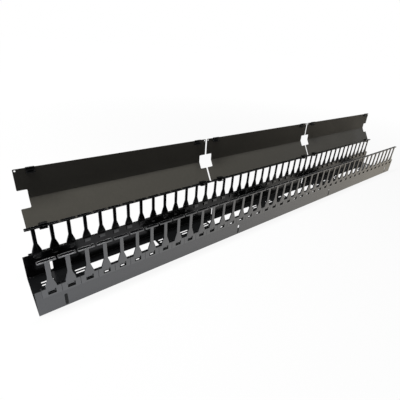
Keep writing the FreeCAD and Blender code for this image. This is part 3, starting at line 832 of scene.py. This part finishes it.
# White floor glow over matt grey paint: the paint shows the object's shadow close by, and the glow, seen only
# by the camera and by reflections, is a little dimmer close by and plain white further off
floor_glow_and_paint, tree, output, place = new_material("white_floor_glow_and_paint")
path = add_node(tree, "ShaderNodeLightPath").outputs
seen = path["Is Camera Ray"]
for ray in ("Is Glossy Ray", "Is Transmission Ray"):
    seen = add_node(tree, "ShaderNodeMath", {0: seen, 1: path[ray]}, operation="MAXIMUM").outputs["Value"]
away = add_node(tree, "ShaderNodeVectorMath", {0: place}, operation="LENGTH").outputs["Value"]
glow = add_node(tree, "ShaderNodeMapRange", {
    "Value": away, "From Min": NEAR, "From Max": FAR, "To Min": NEAR_GLOW, "To Max": 1.0}).outputs["Result"]
shown = add_node(tree, "ShaderNodeMath", {0: seen, 1: glow}, operation="MULTIPLY").outputs["Value"]
along = add_node(tree, "ShaderNodeSeparateXYZ", {"Vector": place}).outputs["X"]
warmth = add_node(tree, "ShaderNodeMapRange", {
    "Value": along, "From Min": TINT_FROM, "From Max": TINT_TO,
    "To Min": 0.0, "To Max": 1.0}).outputs["Result"]
# Painted reflection colour: only reflections see the floor's glow tinted, cooler towards the near end and
# warmer towards the far end
tint = add_node(tree, "ShaderNodeMix", {
    "Factor": warmth, "A": linear(COOL_WHITE), "B": linear(WARM_WHITE)}, data_type="RGBA").outputs["Result"]
tint = add_node(tree, "ShaderNodeMix", {
    "Factor": path["Is Glossy Ray"], "A": linear(WHITE), "B": tint}, data_type="RGBA").outputs["Result"]
white = add_node(tree, "ShaderNodeEmission", {"Color": tint, "Strength": shown})
matt = add_node(tree, "ShaderNodeBsdfDiffuse", {"Color": linear(MATT_GREY)})
both = add_node(tree, "ShaderNodeAddShader", {0: matt.outputs["BSDF"], 1: white.outputs["Emission"]})
tree.links.new(both.outputs["Shader"], output.inputs["Surface"])
floor_mesh.materials.append(floor_glow_and_paint)
print("floor paint: white from", FAR, "m on,", NEAR_GLOW, "of it close by")

# %% [markdown]
# Gloss shows the room around it. To the camera the room is plain white. To reflections only its lower part
# is, and higher up it is dark, so level black surfaces stay black. A picture of a studio could stand here;
# a gradient by height is enough for black paint and stays the same from every side.

# %% Sky
AMBIENT = 0.03
HORIZON_TOP, DARK_FROM, DARK = math.radians(40), math.radians(60), 0.06
world = bpy.data.worlds.new("studio")
bpy.context.scene.world = world
world.use_nodes = True
tree = world.node_tree
tree.nodes.clear()
path = add_node(tree, "ShaderNodeLightPath").outputs
direction = add_node(tree, "ShaderNodeTexCoord").outputs["Generated"]
height = add_node(tree, "ShaderNodeSeparateXYZ", {"Vector": direction}).outputs["Z"]
horizon = add_node(tree, "ShaderNodeMapRange", {
    "Value": height, "From Min": math.sin(HORIZON_TOP), "From Max": math.sin(DARK_FROM),
    "To Min": 1.0, "To Max": DARK}).outputs["Result"]
mirrored = add_node(tree, "ShaderNodeMath", {
    0: path["Is Glossy Ray"], 1: horizon}, operation="MULTIPLY").outputs["Value"]
level = path["Is Camera Ray"]
for other in (path["Is Transmission Ray"], mirrored, AMBIENT):
    level = add_node(tree, "ShaderNodeMath", {0: level, 1: other}, operation="MAXIMUM").outputs["Value"]
sky = add_node(tree, "ShaderNodeBackground", {"Color": linear(WHITE), "Strength": level})
add_node(tree, "ShaderNodeOutputWorld", {"Surface": sky.outputs["Background"]})
print("sky: ambient", AMBIENT)

# %% [markdown]
# The softbox hangs high over the covers, nearly in line with their upper halves. Its light only grazes those
# and falls more squarely on the lower halves, which is what makes the fold show. It is long and narrow, and
# its long side lies along the channel. It hangs towards the near end, so the far end gets much less light.

# %% Lamp
LAMP_PLACE, LAMP_SIZE, LAMP_WATTS = (-1.6, 0.17, 2.4), (2.8, 0.3), 86
lamp_data = bpy.data.lights.new("overhead_softbox", "AREA")
lamp_data.shape = "RECTANGLE"
lamp_data.size, lamp_data.size_y = LAMP_SIZE
lamp_data.energy = LAMP_WATTS
lamp = bpy.data.objects.new("overhead_softbox", lamp_data)
bpy.context.scene.collection.objects.link(lamp)
lamp.location = LAMP_PLACE
lamp.rotation_euler = (-math.atan2(LAMP_PLACE[1], LAMP_PLACE[2]), 0, 0)
print("lamp at", LAMP_PLACE, "m,", LAMP_WATTS, "W")

# %% [markdown]
# The camera stands where the photograph's perspective puts it. Its place and angles were found by fitting
# the ends, the folds and the rows of fingers; the image's middle is a little off the lens's axis.

# %% Camera
IMAGE, FOCAL_PIXELS, MIDDLE = 400, 301.24, (204.61, 185.26)
SENSOR = 36.0
CAMERA_PLACE = (-0.98146, -0.70056, 0.62837)
AZIMUTH, DEPRESSION, ROLL = (math.radians(angle) for angle in (39.466, 25.668, 4.582))
camera_data = bpy.data.cameras.new("camera")
camera_data.sensor_width = SENSOR
camera_data.lens = FOCAL_PIXELS / IMAGE * SENSOR
camera_data.shift_x = (IMAGE / 2 - MIDDLE[0]) / IMAGE
camera_data.shift_y = (MIDDLE[1] - IMAGE / 2) / IMAGE
camera_data.clip_start, camera_data.clip_end = 0.05, 60
camera = bpy.data.objects.new("camera", camera_data)
bpy.context.scene.collection.objects.link(camera)
camera.location = CAMERA_PLACE
forward = Vector((math.sin(AZIMUTH) * math.cos(DEPRESSION), math.cos(AZIMUTH) * math.cos(DEPRESSION),
                  -math.sin(DEPRESSION)))
camera.rotation_mode = "QUATERNION"
camera.rotation_quaternion = forward.to_track_quat("-Z", "Y") @ Quaternion((0, 0, 1), ROLL)
bpy.context.scene.camera = camera
bpy.context.scene.view_settings.view_transform = "Standard"
print("lens", round(camera_data.lens, 2), "mm, shift", round(camera_data.shift_x, 4),
      round(camera_data.shift_y, 4))
